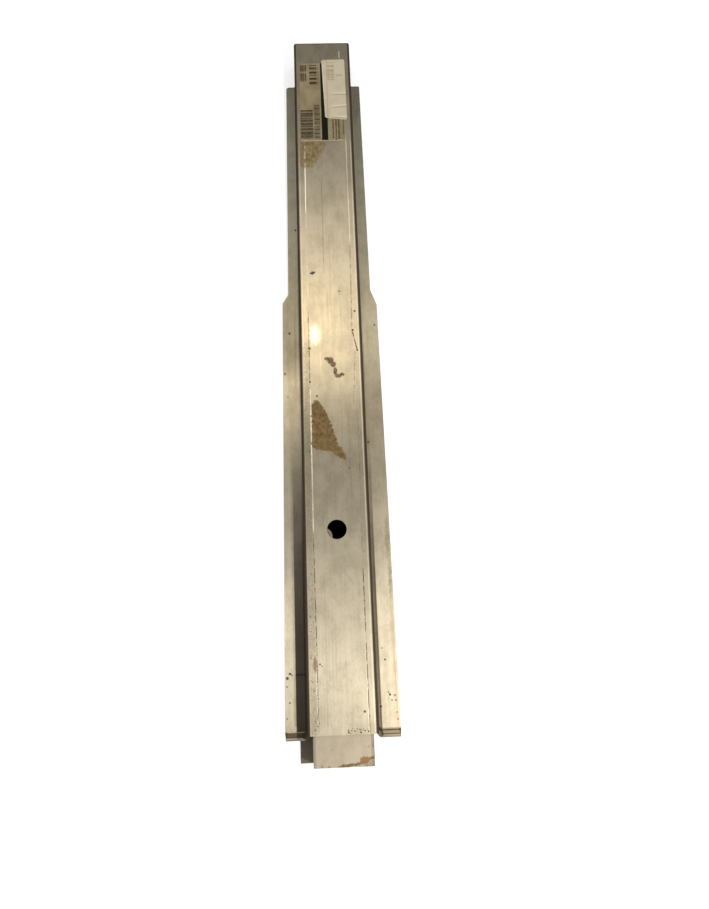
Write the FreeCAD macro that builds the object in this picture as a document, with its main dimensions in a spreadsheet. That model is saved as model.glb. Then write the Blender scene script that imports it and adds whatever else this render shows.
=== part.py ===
import FreeCAD, Part
import math
import os
import Sketcher

# Chassis beam of pressed sheet steel, in millimetres.
#
# The beam is a long top-hat section. Its raised web runs along Y and faces up (+Z), its
# two side walls lean out a little, and a weld flange stands out on each side at the foot
# of each wall. The origin is the middle of the footprint, on the underside of the flanges.
# The -Y end has a turned-up lip on each flange and a tongue that sticks out past them. At
# the +Y end the web and its walls run on past the flanges.
#
# Four pieces: the outer channel, the inner channel that lies under its web and shows as
# the tongue, and two paper labels stuck on the web.

SIZES = {
    # sheet and bends
    "sheet": 1.5,
    "draft_angle": 2.5,
    "crown_radius": 1.8,
    "foot_radius": 2.0,
    # outer channel, section
    "web_width": 74.4,
    "beam_height": 40.0,
    # lips: they lean outwards, meet the walls in a wide bend and narrow upwards
    "web_above_lips": 13.0,
    "lip_lean": 8.5,
    "lip_corner_radius": 3.5,
    "reach_at_lip_tops": 61.0,
    # outer channel, lengths along the beam
    "outer_length": 877.0,
    "tongue_length": 31.5,
    "web_overhang": 36.0,
    "wide_flange_length": 519.0,
    "left_step_length": 12.0,
    "right_step_length": 20.0,
    # outer channel, flange edges measured from the middle of the beam
    "reach_at_lips": 63.5,
    "reach_below_step": 59.8,
    "reach_above_step": 52.5,
    "reach_at_top": 50.6,
    "step_softening": 6.0,
    "left_top_corner": 4.0,
    "right_top_corner": 1.5,
    # round hole, measured from the lip end
    "hole_diameter": 22.0,
    "hole_from_end": 216.0,
    # inner channel
    "inner_width": 64.0,
    "inner_length": 482.0,
    "inner_bend_radius": 1.5,
    "inner_flange_reach": 47.0,
    "inner_flange_gap": 2.5,
    "inner_hole_margin": 1.5,
    "hole_ear_radius": 11.0,
    "hole_ear_across": 16.0,
    "hole_ear_along": 8.0,
    # paper labels
    "label_paper": 0.2,
    "parts_label_width": 56.0,
    "parts_label_length": 122.0,
    "parts_label_corner": 2.5,
    "parts_label_left": 31.0,
    "parts_label_from_top": 32.5,
    "stock_label_width": 31.0,
    "stock_label_length": 95.0,
    "stock_label_corner": 4.0,
    "stock_label_left": 0.5,
    "stock_label_from_top": 26.5,
    # how far the forms and cutters run past the metal
    "run_on": 20.0,
}

doc = FreeCAD.newDocument("chassis_beam")
sheet = doc.addObject("Spreadsheet::Sheet", "sizes")
for row, (alias, value) in enumerate(SIZES.items(), 1):
    sheet.set(f"A{row}", alias)
    sheet.set(f"B{row}", str(value))
    sheet.setAlias(f"B{row}", alias)
doc.recompute()

# Places along the beam and heights, as formulas of the sheet
TOP_END = "(sizes.outer_length + sizes.tongue_length) / 2"
LIP_END = f"({TOP_END} - sizes.outer_length)"
TONGUE_END = f"({LIP_END} - sizes.tongue_length)"
FLANGE_TOP = f"({TOP_END} - sizes.web_overhang)"
STEP = f"({LIP_END} + sizes.wide_flange_length)"
HOLE = f"({LIP_END} + sizes.hole_from_end)"
DRAFT = "(sizes.draft_angle * 1 deg)"
LEAN = "(sizes.lip_lean * 1 deg)"
LIP_TOP = "(sizes.beam_height - sizes.web_above_lips)"
FOOT_HALF = f"(sizes.web_width / 2 + (sizes.beam_height - sizes.sheet) * tan({DRAFT}))"
FORM_HALF = "(sizes.reach_at_lips + sizes.run_on)"
INNER_TOP = "(sizes.beam_height - sizes.sheet)"


def size(alias):
    return float(sheet.get(alias))


def wall_slope():
    return math.tan(math.radians(size("draft_angle")))


def inset_at(angle, thick):
    """How far a wall leaning at an angle moves in when it and its floor both sink."""
    lean = math.radians(size(angle))
    return thick * (1 - math.sin(lean)) / math.cos(lean)


def lip_end():
    return (size("outer_length") + size("tongue_length")) / 2 - size("outer_length")


def new_body(name):
    return doc.addObject("PartDesign::Body", name)


def sketch_on(body, role, name, height="0"):
    """A sketch on one of the body's own origin planes, raised along the plane's normal."""
    planes = {item.Role: item for item in body.Origin.OriginFeatures}
    sketch = body.newObject("Sketcher::SketchObject", name)
    sketch.AttachmentSupport = [(planes[role], "")]
    sketch.MapMode = "FlatFace"
    sketch.setExpression("AttachmentOffset.Base.z", height)
    return sketch


def bind_point(sketch, curve, end, across, up):
    """Tie one point of a sketch to the origin by two formulas."""
    place = sketch.getPoint(curve, end)
    for kind, start, formula in (("DistanceX", place.x, across), ("DistanceY", place.y, up)):
        index = sketch.addConstraint(Sketcher.Constraint(kind, -1, 1, curve, end, start))
        sketch.setExpression(f"Constraints[{index}]", formula)


def bound_polygon(sketch, corners):
    """A closed outline of straight sides with each corner placed by two formulas."""
    count = len(corners)
    turn = 2 * math.pi / count
    start = 100
    ring = [FreeCAD.Vector(start * math.cos(i * turn), start * math.sin(i * turn), 0)
            for i in range(count)]
    for i in range(count):
        sketch.addGeometry(Part.LineSegment(ring[i], ring[(i + 1) % count]), False)
    for i in range(count):
        sketch.addConstraint(Sketcher.Constraint("Coincident", i, 2, (i + 1) % count, 1))
    for i, (across, up) in enumerate(corners):
        bind_point(sketch, i, 1, across, up)


def add_pad(body, sketch, name, length):
    pad = body.newObject("PartDesign::Pad", name)
    pad.Profile = sketch
    pad.setExpression("Length", length)
    doc.recompute()
    return pad


def add_pocket(body, sketch, name, length, reverse=False):
    before = body.Shape.Volume
    pocket = body.newObject("PartDesign::Pocket", name)
    pocket.Profile = sketch
    pocket.Reversed = reverse
    pocket.setExpression("Length", length)
    doc.recompute()
    if body.Shape.Volume > before - 1:
        raise RuntimeError(f"{name} removed nothing")
    return pocket


def pick_edges(shape, wanted):
    """Names of the straight edges for which wanted(middle, direction) holds."""
    names = []
    for number, edge in enumerate(shape.Edges, 1):
        first = edge.Vertexes[0].Point
        last = edge.Vertexes[-1].Point
        if first.distanceToPoint(last) < 1e-6:
            continue
        run = (last - first).normalize()
        if wanted((first + last) * 0.5, run):
            names.append(f"Edge{number}")
    if not names:
        raise RuntimeError("no edge found to round")
    return names


def add_fillet(body, base, name, radius, wanted):
    fillet = body.newObject("PartDesign::Fillet", name)
    fillet.Base = (base, pick_edges(base.Shape, wanted))
    fillet.setExpression("Radius", radius)
    doc.recompute()
    return fillet


def near(a, b):
    return abs(a - b) < 0.01


# The outer channel's two forms.
# The pressing is the metal between a die, whose surface is the top of the sheet, and a
# punch one sheet thickness below it. Both have the same hat section, with a block across
# the lip end that turns the flanges up, and the bends grow by the sheet on their outside.
def press_form(name, depth):
    """Solid under one surface of the sheet: depth 0 is the top side, 1 the underside."""
    body = new_body(name)
    sink = f"({depth} * sizes.sheet)"
    inset = f"({sink} * (1 - sin({DRAFT})) / cos({DRAFT}))"
    floor = f"(sizes.sheet - {sink})"
    top = f"(sizes.beam_height - {sink})"
    foot = f"({FOOT_HALF} - {inset})"
    crown = f"(sizes.web_width / 2 - {inset})"
    bottom = "-sizes.run_on"

    section = sketch_on(body, "XZ_Plane", f"{name}_section", f"-{TOP_END} - sizes.run_on")
    bound_polygon(section, [
        (f"-{FORM_HALF}", bottom),
        (FORM_HALF, bottom),
        (FORM_HALF, floor),
        (foot, floor),
        (crown, top),
        (f"-{crown}", top),
        (f"-{foot}", floor),
        (f"-{FORM_HALF}", floor),
    ])
    add_pad(body, section, f"{name}_hat", "sizes.outer_length + 2 * sizes.run_on")

    fold = f"({LIP_END} - {sink} * (1 - sin({LEAN})) / cos({LEAN}))"
    block_top = f"({LIP_TOP} + {sink} * 2)"
    lean = f"(({block_top} - {floor}) * tan({LEAN}))"
    block = sketch_on(body, "YZ_Plane", f"{name}_lip_section", f"-{FORM_HALF}")
    bound_polygon(block, [
        (fold, bottom),
        (fold, floor),
        (f"{fold} - {lean}", block_top),
        (f"{LIP_END} - sizes.run_on", block_top),
        (f"{LIP_END} - sizes.run_on", bottom),
    ])
    formed = add_pad(body, block, f"{name}_lip_block", f"2 * {FORM_HALF}")

    thick = depth * size("sheet")
    floor_at = size("sheet") - thick
    top_at = size("beam_height") - thick
    fold_at = lip_end() - inset_at("lip_lean", thick)
    wall_rise = size("beam_height") - size("sheet")
    foot_at = size("web_width") / 2 + wall_rise * wall_slope() - inset_at("draft_angle", thick)

    def up_corner(middle, run):
        return abs(run.z) > 0.9 and abs(middle.x) < foot_at and fold_at - 10 < middle.y < fold_at

    def at_foot(middle, run):
        along_wall = abs(run.y) > 0.99 and near(middle.z, floor_at) and near(abs(middle.x), foot_at)
        along_lip = abs(run.x) > 0.99 and near(middle.z, floor_at) and near(middle.y, fold_at)
        return along_wall or along_lip

    def at_crown(middle, run):
        return abs(run.y) > 0.99 and near(middle.z, top_at)

    corner_radius = f"sizes.lip_corner_radius + {sink}"
    cornered = add_fillet(body, formed, f"{name}_lip_corners", corner_radius, up_corner)
    footed = add_fillet(body, cornered, f"{name}_foot_bends", f"sizes.foot_radius + {sink}", at_foot)
    crown_radius = f"sizes.crown_radius + {1 - depth} * sizes.sheet"
    add_fillet(body, footed, f"{name}_crown_bends", crown_radius, at_crown)
    return body


# What the trimming die leaves: the plan of the flanges, the sloping sides of the lips, the
# web's end between them and the round hole.
def trim_form():
    body = new_body("trim_form")
    outline = sketch_on(body, "XY_Plane", "flange_outline", "-sizes.run_on")
    lips = f"({LIP_END} - sizes.run_on)"
    bound_polygon(outline, [
        ("-sizes.reach_at_lips", lips),
        ("sizes.reach_at_lips", lips),
        ("sizes.reach_at_lips", LIP_END),
        ("sizes.reach_below_step", f"{STEP} - sizes.right_step_length / 2"),
        ("sizes.reach_above_step", f"{STEP} + sizes.right_step_length / 2"),
        ("sizes.reach_at_top", FLANGE_TOP),
        (FOOT_HALF, FLANGE_TOP),
        (FOOT_HALF, TOP_END),
        (f"-{FOOT_HALF}", TOP_END),
        (f"-{FOOT_HALF}", FLANGE_TOP),
        ("-sizes.reach_at_top", FLANGE_TOP),
        ("-sizes.reach_above_step", f"{STEP} + sizes.left_step_length / 2"),
        ("-sizes.reach_below_step", f"{STEP} - sizes.left_step_length / 2"),
        ("-sizes.reach_at_lips", LIP_END),
    ])
    blank = add_pad(body, outline, "blank", "sizes.beam_height + 2 * sizes.run_on")

    step_at = lip_end() + size("wide_flange_length")
    top_at = lip_end() + size("outer_length") - size("web_overhang")
    top_reach = size("reach_at_top")

    def at_step(middle, run):
        return abs(run.z) > 0.99 and abs(middle.y - step_at) < size("right_step_length")

    def at_left_top(middle, run):
        return abs(run.z) > 0.99 and near(middle.y, top_at) and near(middle.x, -top_reach)

    def at_right_top(middle, run):
        return abs(run.z) > 0.99 and near(middle.y, top_at) and near(middle.x, top_reach)

    blank = add_fillet(body, blank, "step_rounding", "sizes.step_softening", at_step)
    blank = add_fillet(body, blank, "left_corner", "sizes.left_top_corner", at_left_top)
    add_fillet(body, blank, "right_corner", "sizes.right_top_corner", at_right_top)

    # The lips narrow from the flange's edge to their own top edge
    for side, sign in (("left", "-"), ("right", "")):
        taper = sketch_on(body, "XZ_Plane", f"{side}_lip_side", f"-{LIP_END} - sizes.run_on")
        bound_polygon(taper, [
            (f"{sign}sizes.reach_at_lips", "sizes.sheet"),
            (f"{sign}{FORM_HALF}", "sizes.sheet"),
            (f"{sign}{FORM_HALF}", LIP_TOP),
            (f"{sign}sizes.reach_at_lip_tops", LIP_TOP),
        ])
        add_pocket(body, taper, f"{side}_lip_side_trim", "2 * sizes.run_on", reverse=True)

    # Between the lips the web and its walls stop square, above the lips' top edge
    end_cut = sketch_on(body, "YZ_Plane", "web_end", f"-{FORM_HALF}")
    bound_polygon(end_cut, [
        (LIP_END, LIP_TOP),
        (LIP_END, "sizes.beam_height + 2 * sizes.run_on"),
        (f"{LIP_END} - 2 * sizes.run_on", "sizes.beam_height + 2 * sizes.run_on"),
        (f"{LIP_END} - 2 * sizes.run_on", LIP_TOP),
    ])
    add_pocket(body, end_cut, "web_end_trim", f"2 * {FORM_HALF}", reverse=True)

    hole = sketch_on(body, "XY_Plane", "hole_circle", "-sizes.run_on")
    start = size("hole_diameter") / 2
    centre = FreeCAD.Vector(0, lip_end() + size("hole_from_end"), 0)
    hole.addGeometry(Part.Circle(centre, FreeCAD.Vector(0, 0, 1), start), False)
    bind_point(hole, 0, 3, "0", HOLE)
    index = hole.addConstraint(Sketcher.Constraint("Radius", 0, start))
    hole.setExpression(f"Constraints[{index}]", "sizes.hole_diameter / 2")
    add_pocket(body, hole, "hole_punched", "sizes.beam_height + 2 * sizes.run_on", reverse=True)
    return body


def outer_channel():
    pressed = doc.addObject("Part::Cut", "pressed_sheet")
    pressed.Base = press_form("die_form", 0)
    pressed.Tool = press_form("punch_form", 1)
    doc.recompute()
    trimmed = doc.addObject("Part::Common", "outer_channel")
    trimmed.Base = pressed
    trimmed.Tool = trim_form()
    trimmed.Refine = True
    doc.recompute()
    return trimmed


# The inner channel lies against the underside of the outer web. Its walls hang straight
# down, and past the outer channel its left wall is turned out into a short flange.
def inner_channel():
    body = new_body("inner_channel")
    half = "sizes.inner_width / 2"
    section = sketch_on(body, "XZ_Plane", "inner_section", f"-({TONGUE_END} + sizes.inner_length)")
    bound_polygon(section, [
        (f"-{half}", INNER_TOP),
        (half, INNER_TOP),
        (half, "0"),
        (f"{half} - sizes.sheet", "0"),
        (f"{half} - sizes.sheet", f"{INNER_TOP} - sizes.sheet"),
        (f"sizes.sheet - {half}", f"{INNER_TOP} - sizes.sheet"),
        (f"sizes.sheet - {half}", "0"),
        ("-sizes.inner_flange_reach", "0"),
        ("-sizes.inner_flange_reach", "sizes.sheet"),
        (f"-{half}", "sizes.sheet"),
    ])
    pad = add_pad(body, section, "inner_blank", "sizes.inner_length")

    half_at = size("inner_width") / 2
    top_at = size("beam_height") - size("sheet")
    thick = size("sheet")

    def outer_bend(middle, run):
        crown = near(abs(middle.x), half_at) and near(middle.z, top_at)
        heel = near(middle.x, thick - half_at) and near(middle.z, 0)
        return abs(run.y) > 0.99 and (crown or heel)

    def inner_bend(middle, run):
        crown = near(abs(middle.x), half_at - thick) and near(middle.z, top_at - thick)
        heel = near(middle.x, -half_at) and near(middle.z, thick)
        return abs(run.y) > 0.99 and (crown or heel)

    bent = add_fillet(body, pad, "outside_bends", "sizes.inner_bend_radius + sizes.sheet", outer_bend)
    add_fillet(body, bent, "inside_bends", "sizes.inner_bend_radius", inner_bend)

    # The flange is cut away where the outer channel's wall stands
    notch = sketch_on(body, "XY_Plane", "flange_notch", "-sizes.sheet")
    start = f"({LIP_END} - sizes.foot_radius - sizes.inner_flange_gap)"
    bound_polygon(notch, [
        (f"-{half}", start),
        (f"-{half}", f"{TONGUE_END} + sizes.inner_length + sizes.run_on"),
        ("-sizes.inner_flange_reach - sizes.run_on", f"{TONGUE_END} + sizes.inner_length + sizes.run_on"),
        ("-sizes.inner_flange_reach - sizes.run_on", start),
    ])
    notch_height = "2 * sizes.sheet + sizes.inner_bend_radius + sizes.sheet"
    add_pocket(body, notch, "flange_notched", notch_height, reverse=True)

    # Its hole is wider than the outer one, but for a rounded ear at the lower left
    hole = sketch_on(body, "XY_Plane", "eared_hole", "0")
    bind_eared_circle(hole)
    add_pocket(body, hole, "eared_hole_punched", "sizes.beam_height", reverse=True)
    return body


def bind_eared_circle(sketch):
    """A circle with a round ear left standing in it: two arcs that meet at both ends."""
    hole_at = lip_end() + size("hole_from_end")
    radius = size("hole_diameter") / 2 + size("inner_hole_margin")
    ear_radius = size("hole_ear_radius")
    across = size("hole_ear_across")
    along = size("hole_ear_along")
    gap = math.hypot(across, along)
    to_ear = math.atan2(-along, -across)
    chord = (gap * gap + radius * radius - ear_radius * ear_radius) / (2 * gap)
    spread = math.acos(chord / radius)
    ear_spread = math.acos((gap - chord) / ear_radius)
    axis = FreeCAD.Vector(0, 0, 1)
    hole = Part.Circle(FreeCAD.Vector(0, hole_at, 0), axis, radius)
    ear = Part.Circle(FreeCAD.Vector(-across, hole_at - along, 0), axis, ear_radius)
    turn = 2 * math.pi
    rim = Part.ArcOfCircle(hole, to_ear + spread, to_ear - spread + turn)
    back = to_ear + math.pi
    bulge = Part.ArcOfCircle(ear, back - ear_spread, back + ear_spread)
    sketch.addGeometry(rim, False)
    sketch.addGeometry(bulge, False)
    # the rim ends where the bulge ends, because both arcs turn the same way
    sketch.addConstraint(Sketcher.Constraint("Coincident", 0, 1, 1, 1))
    sketch.addConstraint(Sketcher.Constraint("Coincident", 0, 2, 1, 2))
    bind_point(sketch, 0, 3, "0", HOLE)
    bind_point(sketch, 1, 3, "-sizes.hole_ear_across", f"{HOLE} - sizes.hole_ear_along")
    formulas = ("sizes.hole_diameter / 2 + sizes.inner_hole_margin", "sizes.hole_ear_radius")
    for curve, formula in enumerate(formulas):
        start = radius if curve == 0 else ear_radius
        index = sketch.addConstraint(Sketcher.Constraint("Radius", curve, start))
        sketch.setExpression(f"Constraints[{index}]", formula)


# Two paper labels. The narrow one lies partly on the wide one and partly on the steel.
def parts_label():
    body = new_body("parts_label")
    left = "-sizes.parts_label_left"
    right = f"({left} + sizes.parts_label_width)"
    top = f"({TOP_END} - sizes.parts_label_from_top)"
    low = f"({top} - sizes.parts_label_length)"
    outline = sketch_on(body, "XY_Plane", "parts_label_outline", "sizes.beam_height")
    bound_polygon(outline, [(left, low), (right, low), (right, top), (left, top)])
    pad = add_pad(body, outline, "parts_label_paper", "sizes.label_paper")

    def upright(middle, run):
        return abs(run.z) > 0.99

    add_fillet(body, pad, "parts_label_corners", "sizes.parts_label_corner", upright)
    return body


def stock_label():
    body = new_body("stock_label")
    left = "-sizes.stock_label_left"
    right = f"({left} + sizes.stock_label_width)"
    edge = "(sizes.parts_label_width - sizes.parts_label_left)"
    base = "sizes.beam_height"
    paper = "sizes.label_paper"
    end = f"-({TOP_END} - sizes.stock_label_from_top)"
    section = sketch_on(body, "XZ_Plane", "stock_label_section", end)
    bound_polygon(section, [
        (left, f"{base} + {paper}"),
        (f"{edge} + {paper}", f"{base} + {paper}"),
        (f"{edge} + {paper}", base),
        (right, base),
        (right, f"{base} + {paper}"),
        (f"{edge} + 2 * {paper}", f"{base} + {paper}"),
        (f"{edge} + 2 * {paper}", f"{base} + 2 * {paper}"),
        (left, f"{base} + 2 * {paper}"),
    ])
    pad = add_pad(body, section, "stock_label_paper", "sizes.stock_label_length")
    left_at = -size("stock_label_left")

    def at_left(middle, run):
        return abs(run.z) > 0.99 and near(middle.x, left_at)

    add_fillet(body, pad, "stock_label_corners", "sizes.stock_label_corner", at_left)
    return body


parts = [outer_channel(), inner_channel(), parts_label(), stock_label()]
for part in parts:
    part.Label = part.Name
doc.recompute()

for item in doc.Objects:
    if "Invalid" in item.State or "Error" in item.State:
        raise RuntimeError(f"{item.Label} did not build: {item.State}")

os.makedirs("parts", exist_ok=True)
for part in parts:
    shape = part.Shape
    if shape.isNull() or not shape.isValid() or len(shape.Solids) != 1:
        raise RuntimeError(f"{part.Label} is not one sound solid")
    box = shape.BoundBox
    print(f"{part.Label}: volume {shape.Volume:.0f}, x {box.XMin:.2f} {box.XMax:.2f},"
          f" y {box.YMin:.2f} {box.YMax:.2f}, z {box.ZMin:.2f} {box.ZMax:.2f}")
    shape.exportStep(f"parts/{part.Label}.step")
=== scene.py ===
# %% [markdown]
# # Dressing a pressed chassis beam
#
# The beam is bare sheet steel: a long hat-shaped pressing, with a second channel nested in it and two
# paper labels stuck on its web. The solids come from the CAD model, and this lesson gives them their
# looks. The first cell loads them as a fixed frame, in metres.

# %% Load the frame
import math

import bmesh
import bpy
from mathutils import Euler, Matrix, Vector, noise


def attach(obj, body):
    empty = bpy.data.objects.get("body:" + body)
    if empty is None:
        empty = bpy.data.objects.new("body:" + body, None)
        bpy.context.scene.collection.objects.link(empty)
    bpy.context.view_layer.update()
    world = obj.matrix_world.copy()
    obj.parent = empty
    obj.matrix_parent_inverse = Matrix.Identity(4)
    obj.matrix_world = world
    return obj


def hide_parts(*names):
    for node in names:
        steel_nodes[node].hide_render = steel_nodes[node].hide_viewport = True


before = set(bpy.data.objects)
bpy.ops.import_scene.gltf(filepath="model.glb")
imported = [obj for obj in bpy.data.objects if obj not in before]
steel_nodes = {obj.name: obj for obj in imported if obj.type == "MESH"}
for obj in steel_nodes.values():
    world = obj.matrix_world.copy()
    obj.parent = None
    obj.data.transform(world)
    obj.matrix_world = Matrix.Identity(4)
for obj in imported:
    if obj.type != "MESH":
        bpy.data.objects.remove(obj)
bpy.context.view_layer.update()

print("nodes:", sorted(steel_nodes))

# %% [markdown]
# ## The camera
#
# A render can only be set beside a photograph when both are taken from the same place. The place
# and the tilt were worked out beforehand, from points that are easy to find on the beam: its
# corners, the middle of the hole and the ends of the flanges. The lens is written as a number of
# pixels of focal length, because that is what such a fit gives, and then turned into millimetres.

# %% Set the camera
PICTURE_HEIGHT = 909
FOCAL_PIXELS = 716.6
SENSOR_MM = 36.0

scene = bpy.context.scene
scene.view_settings.view_transform = "Standard"
lens = bpy.data.cameras.new("bench_camera")
lens.sensor_width = SENSOR_MM
lens.lens = FOCAL_PIXELS / PICTURE_HEIGHT * SENSOR_MM
lens.clip_start = 0.01
camera = bpy.data.objects.new("bench_camera", lens)
camera.location = (-0.0001, -0.3289, 0.8364)
camera.rotation_euler = Euler([math.radians(angle) for angle in (14.68, -1.09, -2.18)])
scene.collection.objects.link(camera)
scene.camera = camera
print("lens:", round(lens.lens, 2), "mm")

# %% [markdown]
# ## Colours as a paint chart gives them
#
# Blender's sockets want linear light, but colours are easier to judge as they look on a screen,
# from 0 to 255. This helper turns one into the other, so every colour below can be read and
# changed by eye.

# %% A helper for colours
def shade(red, green, blue):
    """A colour as it looks on a screen, 0 to 255, in Blender's linear light."""
    parts = [part / 255 for part in (red, green, blue)]
    linear = [part / 12.92 if part <= 0.04045 else ((part + 0.055) / 1.055) ** 2.4 for part in parts]
    return (*linear, 1.0)


PAPER_WHITE = shade(255, 255, 255)
print("mid grey in linear light:", round(shade(128, 128, 128)[0], 3))

# %% [markdown]
# ## The studio
#
# A plain soft light shows a part best. The world gives even light from all round, and rays that
# come straight from the camera, or by way of a mirror or glass, see it plain white. The Light Path
# node knows which rays those are. The floor does the same, but it still catches the beam's shadow,
# because only a part of its white comes from that trick and the rest is real light on it.

# %% World light
WORLD_STRENGTH = 0.62


def seen_directly(tree):
    """1 for rays from the camera, or by way of a mirror or glass, and 0 for the light on things."""
    path = tree.nodes.new("ShaderNodeLightPath")
    total = path.outputs["Is Camera Ray"]
    for name in ("Is Glossy Ray", "Is Transmission Ray"):
        larger = tree.nodes.new("ShaderNodeMath")
        larger.operation = "MAXIMUM"
        tree.links.new(total, larger.inputs[0])
        tree.links.new(path.outputs[name], larger.inputs[1])
        total = larger.outputs[0]
    return total


world = bpy.data.worlds.new("studio_world")
world.use_nodes = True
scene.world = world
sky = world.node_tree
light_side = sky.nodes["Background"]
light_side.inputs["Color"].default_value = shade(250, 250, 255)
light_side.inputs["Strength"].default_value = WORLD_STRENGTH
white_side = sky.nodes.new("ShaderNodeBackground")
white_side.inputs["Color"].default_value = PAPER_WHITE
white_side.inputs["Strength"].default_value = 1.0
which_side = sky.nodes.new("ShaderNodeMixShader")
sky.links.new(seen_directly(sky), which_side.inputs["Fac"])
sky.links.new(light_side.outputs[0], which_side.inputs[1])
sky.links.new(white_side.outputs[0], which_side.inputs[2])
sky.links.new(which_side.outputs[0], sky.nodes["World Output"].inputs["Surface"])
print("world light:", WORLD_STRENGTH)

# %% [markdown]
# ## Lamps
#
# Two lamps do the rest. A small oval one beyond the far end makes the glint on the web, with a
# soft glow round it. The key lamp stands to the right of the near end, and draws the shadow of the
# web on the left flange: its slant is read off that shadow, about 14 mm wide for a web that stands
# 38 mm above the flange.

# %% Hang the lamps
def hang_lamp(name, place, aim, size, watts, colour):
    """An oval area lamp at a place, facing its aim; size is its width and its length in metres."""
    lamp = bpy.data.lights.new(name, type="AREA")
    lamp.shape = "ELLIPSE"
    lamp.size, lamp.size_y = size
    lamp.energy = watts
    lamp.color = colour[:3]
    holder = bpy.data.objects.new(name, lamp)
    holder.location = place
    holder.rotation_euler = (Vector(aim) - Vector(place)).to_track_quat("-Z", "Y").to_euler()
    scene.collection.objects.link(holder)


WARM = shade(255, 232, 186)
SOFT_WHITE = shade(255, 252, 245)
hang_lamp("glint_lamp", (-0.047, 0.565, 1.235), (-0.019, 0.03, 0.04), (0.018, 0.05), 1.1, WARM)
hang_lamp("key_lamp", (0.42, -0.62, 1.05), (0.0, -0.2, 0.0), (0.06, 0.06), 6.0, SOFT_WHITE)

# %% [markdown]
# ## The floor
#
# A single large face is enough. Under the beam the white trick is switched off, so that the hole
# in the web looks down into the dark hollow, as it does on the real part.

# %% Lay the floor
FLOOR_SIZE = 8.0
FLOOR_GLOW = 0.5

floor_mesh = bpy.data.meshes.new("studio_floor")
floor_form = bmesh.new()
bmesh.ops.create_grid(floor_form, x_segments=1, y_segments=1, size=FLOOR_SIZE / 2)
bmesh.ops.translate(floor_form, verts=floor_form.verts[:], vec=(0, 0, -0.0003))
floor_form.to_mesh(floor_mesh)
floor_form.free()
floor = bpy.data.objects.new("studio_floor", floor_mesh)
scene.collection.objects.link(floor)
print("floor:", FLOOR_SIZE, "m across")

# %% [markdown]
# ## A small kit for finishes
#
# Steel and paper are both built from the same few moves: measure where a point is, make a soft
# edged mask from that, and lay a colour over what is there already. Object coordinates are
# turned into millimetres first, so that a mask can use the sizes that a ruler gives.

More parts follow.
